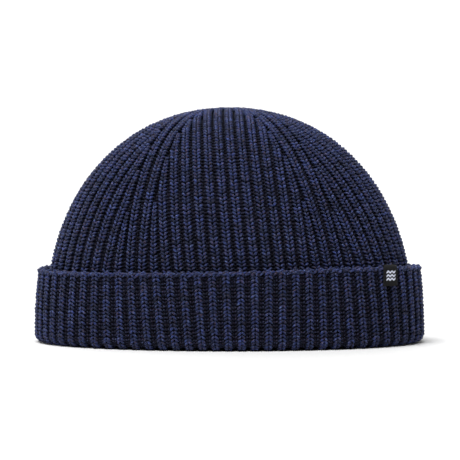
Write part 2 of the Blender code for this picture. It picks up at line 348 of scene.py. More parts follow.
def yarn_piece(name, lines, radii, facing, tones, material, sides=6):
    """Short closed lengths of yarn as one mesh.

    lines is (count, rings, 3), radii is (count, rings), facing is (count, 3) and tones is (count).
    A ring's point is line + radius * (cos(angle) * side + sin(angle) * lift), where side and lift
    are square to the line. The UV map "knit" runs once round the yarn and along it in millimetres,
    and "leg" holds the share of the length and the tone.
    """
    count, rings, _ = lines.shape
    along = unit(np.gradient(lines, axis=1))
    side = unit(np.cross(along, facing[:, None, :]))
    lift = np.cross(side, along)
    angle = (2 * math.pi * np.arange(sides) / sides)[:, None]
    spokes = np.cos(angle) * side[:, :, None, :] + np.sin(angle) * lift[:, :, None, :]
    points = lines[:, :, None, :] + radii[:, :, None, None] * spokes
    quads, ring, spoke = grid_quads(rings, sides, closed_columns=True)
    first = np.array([(0, k, k + 1, k + 2) for k in range(1, sides - 1, 2)])
    last = (rings - 1) * sides + first[:, ::-1]
    one = np.concatenate([quads[:, ::-1], first, last])
    ring = np.concatenate([ring[:, ::-1], 0 * first, 0 * first + rings - 1])
    spoke = np.concatenate([spoke[:, ::-1], 0 * first, 0 * first])
    steps = np.cumsum(np.linalg.norm(np.diff(lines, axis=1), axis=2), axis=1)
    length = np.concatenate([np.zeros((count, 1)), steps], axis=1) / MM
    length = length + chance.uniform(0, 40, (count, 1))
    knit = np.stack([np.broadcast_to(spoke / sides, (count, *ring.shape)), length[:, ring]], axis=-1)
    leg = np.empty_like(knit)
    leg[..., 0] = ring / (rings - 1)
    leg[..., 1] = tones[:, None, None]
    all_quads = one + (np.arange(count) * rings * sides)[:, None, None]
    uv_maps = {"knit": knit, "leg": leg}
    return mesh_piece(name, points.reshape(-1, 3), all_quads.reshape(-1, 4), uv_maps, material)


# %% [markdown]
# ## Wool
#
# The yarn is a heathered navy: most fibres are dark blue, a few are brown or purple and a few are
# paler. Noise of several sizes gives that, from slow drifts across the hat to single flecks, and
# the finest one only raises bumps. The two plies of the yarn wind round each other, which a
# slanting wave on the yarn's own UV map draws as fine bumps. Where a leg dives between its
# neighbours it lies in shade, and that shade is painted into its colour: its ends are darker than
# its middle. Each effect serves several pieces, so each is a node group.


# %% Node helpers
def new_group(name, inputs, outputs):
    """An empty shader group: inputs as {name: default value}, outputs as {name: socket kind}."""
    group = bpy.data.node_groups.new(name, "ShaderNodeTree")
    for label, value in inputs.items():
        kind = "NodeSocketColor" if isinstance(value, tuple) else "NodeSocketFloat"
        group.interface.new_socket(label, in_out="INPUT", socket_type=kind).default_value = value
    for label, kind in outputs.items():
        group.interface.new_socket(label, in_out="OUTPUT", socket_type=kind)
    return group, group.nodes.new("NodeGroupInput"), group.nodes.new("NodeGroupOutput")


def add_node(tree, kind, links=(), **settings):
    """A node with its settings, and its inputs set to values or linked from sockets."""
    node = tree.nodes.new(kind)
    for key, value in settings.items():
        setattr(node, key, value)
    for key, value in dict(links).items():
        if isinstance(value, bpy.types.NodeSocket):
            tree.links.new(value, node.inputs[key])
        else:
            node.inputs[key].default_value = value
    return node


def math_node(tree, operation, *values):
    """The result of one sum on values or sockets."""
    return add_node(tree, "ShaderNodeMath", enumerate(values), operation=operation).outputs[0]


def mapped(tree, value, low, high, to_low, to_high):
    """The value carried from low..high to to_low..to_high, and held at the ends."""
    links = {"Value": value, "From Min": low, "From Max": high, "To Min": to_low, "To Max": to_high}
    return add_node(tree, "ShaderNodeMapRange", links).outputs[0]


def mix_colour(tree, factor, first, second):
    """A blend from the first colour to the second."""
    links = {0: factor, 6: first, 7: second}
    return add_node(tree, "ShaderNodeMix", links, data_type="RGBA").outputs[2]


def scaled(tree, colour, factor):
    """The colour times a number."""
    links = {0: colour, "Scale": factor}
    return add_node(tree, "ShaderNodeVectorMath", links, operation="SCALE").outputs[0]


def uv_parts(tree, uv_map):
    """The two numbers of a UV map, as sockets."""
    uv = add_node(tree, "ShaderNodeUVMap", uv_map=uv_map).outputs["UV"]
    return add_node(tree, "ShaderNodeSeparateXYZ", {0: uv}).outputs


# %% Heather: flecks and drifts of colour
heather, given, result = new_group(
    "heather",
    {"Colour": (0.03, 0.04, 0.09, 1.0), "Brown": (0.042, 0.024, 0.034, 1.0),
     "Pale": (0.10, 0.145, 0.29, 1.0), "Flecks": 0.5},
    {"Colour": "NodeSocketColor", "Fibre": "NodeSocketFloat"},
)
place = heather.nodes.new("ShaderNodeTexCoord").outputs["Object"]


def noise_at(scale, detail):
    """Noise on object coordinates, from 0 to 1 with its middle at a half."""
    links = {"Vector": place, "Scale": scale, "Detail": detail, "Roughness": 0.6}
    return add_node(heather, "ShaderNodeTexNoise", links).outputs["Fac"]


drift = mapped(heather, noise_at(45.0, 2.0), 0.3, 0.7, 0.86, 1.14)
stitch_tone = mapped(heather, noise_at(700.0, 3.0), 0.3, 0.7, 0.4, 1.6)
fibre = noise_at(2600.0, 3.0)
brown_mask = mapped(heather, noise_at(900.0, 3.0), 0.50, 0.62, 0.0, 1.0)
pale_mask = mapped(heather, noise_at(1500.0, 2.0), 0.55, 0.70, 0.0, 1.0)
base = scaled(heather, given.outputs["Colour"], math_node(heather, "MULTIPLY", drift, stitch_tone))
brown = math_node(heather, "MULTIPLY", brown_mask, given.outputs["Flecks"])
pale = math_node(heather, "MULTIPLY", pale_mask, given.outputs["Flecks"])
with_brown = mix_colour(heather, brown, base, given.outputs["Brown"])
with_pale = mix_colour(heather, pale, with_brown, given.outputs["Pale"])
heather.links.new(with_pale, result.inputs["Colour"])
heather.links.new(fibre, result.inputs["Fibre"])

# %% Ply twist: the slanting bumps of plied yarn
ply_twist, given, result = new_group(
    "ply twist", {"Plies": 2.0, "Turn length": 3.0}, {"Height": "NodeSocketFloat"}
)
uv = uv_parts(ply_twist, "knit")
round_yarn = math_node(ply_twist, "MULTIPLY", uv["X"], given.outputs["Plies"])
along_yarn = math_node(ply_twist, "DIVIDE", uv["Y"], given.outputs["Turn length"])
phase = math_node(ply_twist, "ADD", round_yarn, along_yarn)
wave = math_node(ply_twist, "SINE", math_node(ply_twist, "MULTIPLY", phase, 2 * math.pi))
ply_twist.links.new(math_node(ply_twist, "ABSOLUTE", wave), result.inputs["Height"])

# %% Painted leg shade: darker ends as painted shade, and one random tone for each leg
leg_painted_shade_and_tone, given, result = new_group(
    "leg painted shade and tone", {"Painted end shade": 0.25, "Spread": 0.35}, {"Shade": "NodeSocketFloat"}
)
uv = uv_parts(leg_painted_shade_and_tone, "leg")
# Painted shade: a leg is darkest at its ends, where it dives between its neighbours.
middle = math_node(leg_painted_shade_and_tone, "SINE", math_node(leg_painted_shade_and_tone, "MULTIPLY", uv["X"], math.pi))
rise = mapped(leg_painted_shade_and_tone, middle, 0.15, 0.95, given.outputs["Painted end shade"], 1.0)
swing = math_node(leg_painted_shade_and_tone, "MULTIPLY", uv["Y"], given.outputs["Spread"])
leg_tone = math_node(leg_painted_shade_and_tone, "ADD", swing, 1.0)
leg_painted_shade_and_tone.links.new(math_node(leg_painted_shade_and_tone, "MULTIPLY", rise, leg_tone), result.inputs["Shade"])


# %% Yarn material
def new_material(name, values):
    """A material with a Principled shader. Constants go straight on the shader's own sockets."""
    material = bpy.data.materials.new(name)
    material.use_nodes = True
    shader = material.node_tree.nodes["Principled BSDF"]
    for label, value in values.items():
        shader.inputs[label].default_value = value
    return material, material.node_tree, shader


def paint(tree, shader, colour, height, strength, distance):
    """Link a colour to the shader, and bumps whose full height is the distance."""
    links = {"Strength": strength, "Distance": distance, "Height": height}
    bump = add_node(tree, "ShaderNodeBump", links)
    tree.links.new(colour, shader.inputs["Base Color"])
    tree.links.new(bump.outputs["Normal"], shader.inputs["Normal"])


WOOL_SHINE = {
    "Specular IOR Level": 0.2, "Sheen Roughness": 0.5, "Sheen Tint": (0.45, 0.6, 1.0, 1.0),
}
PLY_BUMP, FIBRE_BUMP = 0.12, 0.16


def wool(name, colour, flecks, ends=0.25, sheen=0.04):
    """Heathered yarn: heather colour with painted shade at the leg ends and a tone for each leg.

    Bumps come from the plies and the fibres.
    """
    constants = {**WOOL_SHINE, "Roughness": 0.62, "Sheen Weight": sheen}
    material, tree, shader = new_material(name, constants)
    links = {"Colour": colour, "Flecks": flecks}
    body = add_node(tree, "ShaderNodeGroup", links, node_tree=heather)
    shade = add_node(tree, "ShaderNodeGroup", {"Painted end shade": ends}, node_tree=leg_painted_shade_and_tone)
    plies = add_node(tree, "ShaderNodeGroup", node_tree=ply_twist)
    shaded = scaled(tree, body.outputs["Colour"], shade.outputs["Shade"])
    height = math_node(
        tree, "ADD",
        math_node(tree, "MULTIPLY", plies.outputs["Height"], PLY_BUMP),
        math_node(tree, "MULTIPLY", body.outputs["Fibre"], FIBRE_BUMP),
    )
    paint(tree, shader, shaded, height, 0.8, 1.0 * MM)
    return material


# The chains and the cord get strong painted shade at their leg ends: a twentieth of the colour.
navy_yarn = wool("navy_yarn", (0.0122, 0.0203, 0.087, 1.0), 0.9, ends=0.05, sheen=0.11)
# The furrow chains are the same navy yarn, painted far darker as the shade in the furrows.
painted_dark_furrow_yarn = wool("painted_dark_furrow_yarn", (0.0050, 0.0048, 0.017, 1.0), 0.4)
cuff_painted_dark_furrow_yarn = wool("cuff_painted_dark_furrow_yarn", (0.0085, 0.0085, 0.030, 1.0), 0.6)

# %% Plain knit under the stitches, painted dark as shade
# The shells' UV map counts ribs one way and rows the other, so a stitch is a slanting wave in it.
constants = {**WOOL_SHINE, "Roughness": 0.95, "Sheen Weight": 0.02, "Specular IOR Level": 0.1}
painted_shade_knit, tree, shader = new_material("painted_shade_knit", constants)
uv = uv_parts(tree, "knit")
half_rib = math_node(tree, "PINGPONG", uv["X"], 0.5)
slant = math_node(tree, "MULTIPLY", half_rib, 1.4)
rows = math_node(tree, "MULTIPLY", math_node(tree, "ADD", uv["Y"], slant), math.pi)
legs = math_node(tree, "ABSOLUTE", math_node(tree, "SINE", rows))
# Painted shade: the shell is near black, and darker again between the legs of its wave.
links = {"Colour": (0.005, 0.0048, 0.012, 1.0), "Flecks": 0.25}
body = add_node(tree, "ShaderNodeGroup", links, node_tree=heather)
shaded = scaled(tree, body.outputs["Colour"], mapped(tree, legs, 0.1, 0.9, 0.35, 1.0))
paint(tree, shader, shaded, legs, 1.0, 0.9 * MM)
print("materials:", [m.name for m in bpy.data.materials])

# %% [markdown]
# ## The knit under the stitches
#
# Between the stitches one sees the fabric's own depth, which lies in shade. A closed shell with soft
# ribs stands for it on each part, a little under the yarn, and shows on the inside of the hat. Its
# colour is painted near black as that shade.

# %% Crown shell
RIB_COLUMNS = 6
SHELL_ROWS = 48

# Each skin's lift from the dome's crest line, on its own crests and in its furrows.
OUTER_LIFTS = -1.7 * MM, -2.9 * MM
INNER_LIFTS = -3.4 * MM, -4.4 * MM
FLAT_TOP_SPREAD = 0.06


def ribbed_columns(turn, crest_lift, furrow_lift):
    """Rows of rib columns round the dome at each turn: angle, lift and column number.

    The lift swings between its crest and furrow values with a rounded wave, and it fades to the
    furrow value where a rib ends beside a spine.
    """
    angles, lifts, numbers = [], [], []
    number = 0
    for panel, (_, _, ribs) in PANELS.items():
        for step in range(ribs * RIB_COLUMNS):
            column = step / RIB_COLUMNS
            angle, _, left = column_angle(panel, column, turn)
            crest = 0.5 - 0.5 * math.cos(2 * math.pi * column)
            angles.append(angle)
            lifts.append(furrow_lift + (crest_lift - furrow_lift) * crest**CREST_POWER * left)
            numbers.append(number + column)
        number += ribs
    return np.array(angles), np.array(lifts), np.array(numbers)


def even_turns(first_rise, rows):
    """Turns from a rise to the top, evenly spaced along the dome's mean outline."""
    fine = np.linspace(turn_at_rise(first_rise), math.pi / 2, 600)
    rise, spread = dome(fine)
    radius = spread * (CROWN_HALF_WIDTH + CROWN_HALF_DEPTH) / 2
    length = np.concatenate([[0], np.cumsum(np.hypot(np.diff(rise), np.diff(radius)))])
    return np.interp(np.linspace(0, length[-1], rows), length, fine), length[-1]


def crown_skin(turn, crest_lift, furrow_lift):
    """Points of a skin of the dome, whose ribs flatten where they gather at the top centre."""
    angle, lift, numbers = ribbed_columns(turn, crest_lift, furrow_lift)
    gather = np.clip(dome(turn)[1] / FLAT_TOP_SPREAD, 0, 1)
    lift = crest_lift + (lift - crest_lift) * gather
    foot, out = crown_points(angle, np.broadcast_to(turn, angle.shape))
    return foot + out * lift[..., None], numbers


crown_turns, crown_length = even_turns(FOLD_HEIGHT + PIECE_GAP, SHELL_ROWS)
outer_skin, column_number = crown_skin(crown_turns, *OUTER_LIFTS)
inner_skin, _ = crown_skin(crown_turns, *INNER_LIFTS)
section = np.concatenate([outer_skin[:, ::-1], inner_skin], axis=1).transpose(1, 0, 2)
rows, columns, _ = section.shape
quads, corner_row, corner_column = grid_quads(rows, columns, closed_columns=True)
row_place = np.concatenate([np.linspace(1, 0, SHELL_ROWS), np.linspace(0, 1, SHELL_ROWS)])
row_place = row_place * crown_length / CROWN_ROW
column_place = np.append(column_number, column_number[-1] + 1 / RIB_COLUMNS)
uv = np.stack([column_place[corner_column], row_place[corner_row]], axis=-1)
crown_knit = mesh_piece("crown_knit", section.reshape(-1, 3), quads, {"knit": uv}, painted_shade_knit)
print("crown shell:", len(quads) * 2, "triangles")


# %% Cuff shell
SECTION_ROWS, HIDDEN_ROWS = 48, 7
CUFF_CREST_LIFT, CUFF_RELIEF, HIDDEN_LIFT = -1.5 * MM, 1.3 * MM, -0.4 * MM
LOWEST_SHELL = 0.5 * MM
ROW_SPACING = 0.8


def cuff_columns(per_rib):
    """Angle and number of the columns round the cuff, spaced as the crown's are at the cuff."""
    angles, numbers, number = [], [], 0
    for panel, (_, _, ribs) in PANELS.items():
        for step in range(ribs * per_rib):
            angles.append(float(column_angle(panel, step / per_rib, INSIDE_CUFF)[0]))
            numbers.append(number + step / per_rib)
        number += ribs
    return np.array(angles), np.array(numbers)


ring_angle, ring_number = cuff_columns(RIB_COLUMNS)
index = np.linspace(0, len(SECTION_LENGTH) - 1, SECTION_ROWS).round().astype(int)
hidden = np.linspace(FOLD_HEIGHT, CUFF_HEIGHT - LABEL_BACK, HIDDEN_ROWS + 1)[:-1]
inset = np.append(SECTION_INSET[index], cuff_lean(hidden) + KNIT_THICKNESS)
height = np.append(SECTION_HEIGHT[index], hidden)
inset_rate = np.append(INSET_RATE[index], 0 * hidden)
height_rate = np.append(HEIGHT_RATE[index], 0 * hidden + 1)
shown = np.append(SECTION_LENGTH[index] > LABEL_BACK, 0 * hidden)
crest = (0.5 + 0.5 * np.cos(2 * math.pi * ring_number)) ** CREST_POWER
relief = CUFF_RELIEF * (1 - crest) * squeeze(height)[:, None]
lift = np.where(shown[:, None] > 0, CUFF_CREST_LIFT - relief, HIDDEN_LIFT)
point, out = cuff_points(
    ring_angle, inset[:, None], height[:, None], inset_rate[:, None], height_rate[:, None]
)
point = point + out * lift[..., None]
point[..., 2] = np.maximum(point[..., 2], LOWEST_SHELL)
rows, columns, _ = point.shape
quads, corner_row, corner_column = grid_quads(rows, columns, closed_rows=True, closed_columns=True)
column_place = np.append(ring_number, ring_number[-1] + 1 / RIB_COLUMNS) + 0.5
uv = np.stack([column_place[corner_column], corner_row * ROW_SPACING], axis=-1)
cuff_knit = mesh_piece(
    "cuff_knit", point.reshape(-1, 3), quads[:, ::-1], {"knit": uv[:, ::-1]}, painted_shade_knit
)
print("cuff shell:", len(quads) * 2, "triangles")

# %% [markdown]
# ## Stitches
#
# A knit stitch shows as two legs of yarn in a V, and a rib is a chain of them. Each leg is a short
# spindle: it comes out from under the stitch below, swells over the crest and dives into the
# furrow. The cuff is the same knit turned over and upside down, so its legs slope the other way,
# and flatter. In the furrows lies a second, smaller chain, which is the back of the knit; its yarn
# is painted darker, as the shade that lies in the furrows.


# %% Stitch places along a rib
LEAST_LEFT = 0.2
LOWEST_ROW = 36 * MM
FIRST_CUFF_LENGTH = 2 * MM


def places_on(point, out, width, left, row):
    """Places for stitches on one rib: origin, along, across, facing, width and share left.

    The path is cut into steps one row long, as far as a fifth of the rib's width is left.
    """
    keep = left > LEAST_LEFT
    point, out, width, left = (a[keep] for a in (point, out, width, left))
    steps = np.linalg.norm(np.diff(point, axis=0), axis=1)
    length = np.concatenate([[0], np.cumsum(steps)])
    count = int(length[-1] / row)
    if count < 1:
        return None
    at = (np.arange(count) + 0.5) * length[-1] / count

    def pick(values):
        return np.stack([np.interp(at, length, v) for v in values.T], axis=1)

    along = unit(pick(np.gradient(point, length, axis=0)))
    across = unit(np.cross(along, pick(out)))
    facing = np.cross(across, along)
    flat = [np.interp(at, length, v) for v in (width, left)]
    return [pick(point), along, across, facing, *flat]


def joined(parts):
    """The places of several ribs as one set, without the ribs that are too short for a stitch."""
    return [np.concatenate(columns) for columns in zip(*[p for p in parts if p is not None])]


def crown_places(panel, offset):
    """Stitch places on every rib of a panel, from just inside the cuff to the top."""
    turn = np.linspace(turn_at_rise(LOWEST_ROW), math.pi / 2 - 0.004, 900)
    found = []
    for rib in range(PANELS[panel][2]):
        angle, width, left = column_angle(panel, rib + offset, turn, offset == 0.5)
        point, out = crown_points(angle, turn)
        found.append(places_on(point, out, width, left, CROWN_ROW))
    return joined(found)


def cuff_places(panel, offset):
    """Stitch places down every rib of the cuff over one panel, from its edge to the inner lip."""
    keep = SECTION_LENGTH > FIRST_CUFF_LENGTH
    inset, height = SECTION_INSET[keep], SECTION_HEIGHT[keep]
    found = []
    for rib in range(PANELS[panel][2]):
        angle, width, _ = column_angle(panel, rib + offset, INSIDE_CUFF)
        point, out = cuff_points(angle, inset, height, INSET_RATE[keep], HEIGHT_RATE[keep])
        even = 1 + 0 * height
        width = width * CUFF_WIDTH / 2 / CROWN_HALF_WIDTH * even
        found.append(places_on(point, out, width, even, CUFF_ROW))
    return joined(found)


# %% Legs of yarn
# Each row of a leg's table is one ring of the spindle: how far across the rib, along it and out
# from its crest line the ring lies, and its radius, in millimetres. The yarn's twist makes the
# first leg of a crown stitch long and slanting and the second one short and round.
CROWN_LEGS = np.array([
    [
        (0.10, -1.22, -1.45, 0.45),
        (0.56, -0.68, -1.05, 0.58),
        (1.15, 0.00, -0.68, 0.66),
        (1.75, 0.68, -1.16, 0.58),
        (2.20, 1.12, -2.30, 0.38),
    ],
    [
        (0.30, -0.88, -1.45, 0.47),
        (0.74, -0.50, -1.04, 0.66),
        (1.25, 0.00, -0.68, 0.78),
        (1.78, 0.50, -1.15, 0.64),
        (2.18, 0.85, -2.30, 0.40),
    ],
])
CUFF_LEGS = np.array([
    [
        (0.12, -1.00, -1.75, 0.42),
        (0.50, -0.62, -0.98, 0.62),
        (1.00, -0.05, -0.78, 0.70),
        (1.50, 0.55, -1.15, 0.62),
        (1.90, 1.00, -2.20, 0.40),
    ],
] * 2)
FURROW_LEGS = np.array([
    [
        (0.12, -0.45, -2.70, 0.33),
        (0.60, 0.00, -2.40, 0.46),
        (1.15, 0.45, -2.70, 0.33),
    ],
] * 2)
CUFF_FURROW_LEGS = np.array([
    [
        (0.15, -0.45, -2.45, 0.36),
        (0.70, 0.00, -2.10, 0.52),
        (1.35, 0.50, -2.50, 0.36),
    ],
] * 2)

# How much the stitches vary: seeded turns in radians, shares of width and thickness, steps in
# millimetres, and tones.
LEAN_SPREAD, WIDE_SPREAD, THICK_SPREAD = 0.06, 0.03, 0.06
ROW_SHIFT, LEG_SHIFT, LEG_RISE, TONE_SPREAD = 0.10, 0.05, 0.07, 0.6
DARKEST_TONE, PALEST_TONE = -1.6, 2.2

# Where ribs crowd, the legs narrow less than the rib does and the yarn swells, each by up to this
# factor. Where a rib ends, its yarn thins by up to this share and rises by up to this many
# millimetres, as a knot.
CROWDED_WIDTH, CROWDED_THICKNESS = 1.25, 1.4
END_THINNING, END_RISE = 0.2, 0.15


def stitch_legs(places, tables, down=1):
    """Lines, radii, facing and tones of the two legs of every stitch.

    A ring's place is origin + across * a + along * b + facing * c. With narrow as the rib's width
    in usual widths, its legs spread by the square root of narrow and swell by 1 / narrow ** 2,
    both within limits. A rib that ends in a spine gets narrow and rises a little there. Small
    seeded changes keep the rows from looking printed.
    """
    origin, along, across, facing, width, left = places
    count = len(origin)
    lean = chance.normal(0, LEAN_SPREAD, (count, 1))
    along, across = along + across * lean, across - along * lean
    narrow = width / RIB_PITCH
    wide = np.clip(narrow**0.5, narrow, CROWDED_WIDTH * narrow)
    wide = (wide * left**0.7 * chance.normal(1, WIDE_SPREAD, count))[:, None]
    full = np.clip(narrow**-2.0, 1, CROWDED_THICKNESS) * (1 - END_THINNING + END_THINNING * left)
    thick = chance.normal(1, THICK_SPREAD, (count, 1)) * full[:, None]
    tone = chance.normal(0, TONE_SPREAD, count)
    shift = chance.normal(0, ROW_SHIFT, (count, 1))
    knot = ((1 - left) * END_RISE)[:, None]
    lines, radii, tones = [], [], []
    for side, table in zip((-1, 1), tables):
        a = table[:, 0] * side * wide
        b = table[:, 1] * down + shift + chance.normal(0, LEG_SHIFT, (count, 1))
        c = table[:, 2] + knot + chance.normal(0, LEG_RISE, (count, 1))
        offset = across[:, None] * a[..., None] + along[:, None] * b[..., None]
        lines.append(origin[:, None] + (offset + facing[:, None] * c[..., None]) * MM)
        radii.append(table[:, 3] * thick * MM)
        tones.append(np.clip(tone + chance.normal(0, TONE_SPREAD, count), DARKEST_TONE, PALEST_TONE))
    return (
        np.concatenate(lines), np.concatenate(radii),
        np.concatenate([facing, facing]), np.concatenate(tones),
    )


# %% Knit the crown
crown_pieces = [crown_knit]
for panel in PANELS:
    chain = yarn_piece(
        f"crown_stitches_{panel}", *stitch_legs(crown_places(panel, 0.5), CROWN_LEGS), navy_yarn
    )
    furrow = yarn_piece(
        f"crown_furrows_{panel}", *stitch_legs(crown_places(panel, 0.0), FURROW_LEGS), painted_dark_furrow_yarn,
        sides=4,
    )
    crown_pieces += [chain, furrow]
    print(panel, [(p.name, len(p.data.polygons) * 2) for p in (chain, furrow)])


# %% Knit the cuff
def cuff_legs(panel, offset, tables, down=1):
    """The legs of the cuff's stitches, lifted so that no yarn goes below the floor."""
    legs = stitch_legs(cuff_places(panel, offset), tables, down)
    legs[0][..., 2] = np.maximum(legs[0][..., 2], legs[1])
    return legs


cuff_pieces = [cuff_knit]
for panel in PANELS:
    chain = yarn_piece(f"cuff_stitches_{panel}", *cuff_legs(panel, 0.0, CUFF_LEGS), navy_yarn)
    furrow = yarn_piece(
        f"cuff_furrows_{panel}", *cuff_legs(panel, 0.5, CUFF_FURROW_LEGS, down=-1),
        cuff_painted_dark_furrow_yarn, sides=4,
    )
    cuff_pieces += [chain, furrow]
    print(panel, [(p.name, len(p.data.polygons) * 2) for p in (chain, furrow)])

# %% [markdown]
# ## The cast-on edge
#
# The first row of a knit is a firm twisted cord. On this hat it is the cuff's top edge, where it
# shows as a line of short slanting stitches that bridges the furrows. A second, sparser line lies
# just below the first, so the edge looks doubled.


# %% Cast-on cord
FIRST_PER_RIB, SECOND_PER_RIB, SECOND_STEP = 3, 2, 1.9 * MM


def cast_on(per_rib, place):
    """Slanting spindles round the cuff's edge: their lines, radii, facing and tones.

    With share from -1 to 1 along a spindle, it lies along the edge by 1.7 * share, tilts by
    tilt * share, and its ends dive: out = -0.2 - 1.1 * share ** 2, all in millimetres. Over a
    furrow it dips by up to 0.9 more.
    """
    angle, number = cuff_columns(per_rib)
    at = np.searchsorted(SECTION_LENGTH, place)
    rates = INSET_RATE[at], HEIGHT_RATE[at]
    origin, out = cuff_points(angle, SECTION_INSET[at], SECTION_HEIGHT[at], *rates)
    small_turn = 0.001
    ahead, _ = cuff_points(angle + small_turn, SECTION_INSET[at], SECTION_HEIGHT[at], *rates)
    run = unit(ahead - origin)
    up = np.cross(out, run)
    share = np.linspace(-1, 1, 5)
    count = len(angle)
    dip = 0.45 * (1 - np.cos(2 * math.pi * number))[:, None]
    tilt = chance.normal(0.8, 0.25, (count, 1))
    b = 1.7 * share * chance.normal(1, 0.12, (count, 1))
    c = -0.2 - 1.1 * share**2 - dip + chance.normal(0, 0.06, (count, 1))
    u = tilt * share + chance.normal(0, 0.1, (count, 1)) - 0.3 * dip
    lines = origin[:, None] + (
        run[:, None] * b[..., None] + out[:, None] * c[..., None] + up[:, None] * u[..., None]
    ) * MM
    radii = (0.35 + 0.33 * (1 - share**2)) * chance.normal(1, 0.08, (count, 1)) * MM
    return lines, radii, out, chance.normal(0.4, 0.7, count)


strands = [
    cast_on(FIRST_PER_RIB, EDGE_LENGTH), cast_on(SECOND_PER_RIB, EDGE_LENGTH + SECOND_STEP)
]
cord = yarn_piece("cast_on_cord", *(np.concatenate(both) for both in zip(*strands)), navy_yarn)
cuff_pieces.append(cord)
print("cast-on cord:", len(cord.data.polygons) * 2, "triangles")

# %% [markdown]
# ## The label
#
# A strip of woven ribbon is folded over the edge and caught into the knit. It is nearly black with
# a small pale figure. Its ribbon is a tight weave, which a fine lattice on its own UV map, counted
# in millimetres, gives as bumps. The figure is three little waves, drawn by a formula in the same
# map: line = y - wave height * sin(2 pi x / wave length), and a wave shows where the line's
# distance from the nearest wave is small.

# %% Woven ribbon
WAVE_LENGTH, WAVE_HEIGHT = 2.9, 0.4

# The waves lie at FIRST_WAVE and at steps of twice HALF_STEP from it, and fade between the two
# distances of WAVE_EDGE.
FIRST_WAVE, HALF_STEP, WAVE_EDGE = 3.6, 0.95, (0.42, 0.54)
FIGURE_HALF_WIDTH, FIGURE_MIDDLE, FIGURE_HALF_HEIGHT, FIGURE_EDGE = 3.5, 5.5, 2.8, 0.1
RIBBON_BLACK, FIGURE_WHITE = (0.0085, 0.0085, 0.009, 1.0), (0.70, 0.74, 0.88, 1.0)
FIGURE_BUMP = 1.5

weave, given, result = new_group("weave", {"Thread": 0.32}, {"Height": "NodeSocketFloat"})
uv = uv_parts(weave, "knit")
turns = math_node(weave, "DIVIDE", math.pi, given.outputs["Thread"])
across = math_node(weave, "SINE", math_node(weave, "MULTIPLY", uv["X"], turns))
along = math_node(weave, "SINE", math_node(weave, "MULTIPLY", uv["Y"], turns))
weave.links.new(math_node(weave, "MULTIPLY", across, along), result.inputs["Height"])

constants = {"Roughness": 0.8, "Specular IOR Level": 0.15}
woven, tree, shader = new_material("label_weave", constants)
uv = uv_parts(tree, "knit")
swell = math_node(tree, "SINE", math_node(tree, "MULTIPLY", uv["X"], 2 * math.pi / WAVE_LENGTH))
line = math_node(tree, "SUBTRACT", uv["Y"], math_node(tree, "MULTIPLY", swell, WAVE_HEIGHT))
gap = math_node(tree, "PINGPONG", math_node(tree, "SUBTRACT", line, FIRST_WAVE), HALF_STEP)
in_line = mapped(tree, gap, *WAVE_EDGE, 1.0, 0.0)


def within(value, half_size):
    """One where the value is within the half size of zero, with a soft edge."""
    away = math_node(tree, "ABSOLUTE", value)
    return mapped(tree, away, half_size, half_size + FIGURE_EDGE, 1.0, 0.0)


in_width = within(uv["X"], FIGURE_HALF_WIDTH)
in_height = within(math_node(tree, "SUBTRACT", line, FIGURE_MIDDLE), FIGURE_HALF_HEIGHT)
figure = math_node(tree, "MULTIPLY", in_line, math_node(tree, "MULTIPLY", in_width, in_height))
threads = add_node(tree, "ShaderNodeGroup", node_tree=weave)
colour = mix_colour(tree, figure, RIBBON_BLACK, FIGURE_WHITE)
figure_height = math_node(tree, "MULTIPLY", figure, FIGURE_BUMP)
height = math_node(tree, "ADD", threads.outputs["Height"], figure_height)
paint(tree, shader, colour, height, 0.5, 0.06 * MM)


# %% Fold the label over the edge
# An ellipse's normal moves X by sin(place) / reach for each unit of inset, and X changes with the
# angle by half width * cos(place).
LABEL_REACH = math.hypot(math.sin(LABEL_PLACE), CUFF_WIDTH / CUFF_DEPTH * math.cos(LABEL_PLACE))
LABEL_SLOPE = math.tan(LABEL_PLACE) / LABEL_REACH / (CUFF_WIDTH / 2)
LABEL_GAP = 0.15 * MM

# The hidden face, the edge and most of the shown face lie in this first length of the section.
FACE_LENGTH = 30 * MM


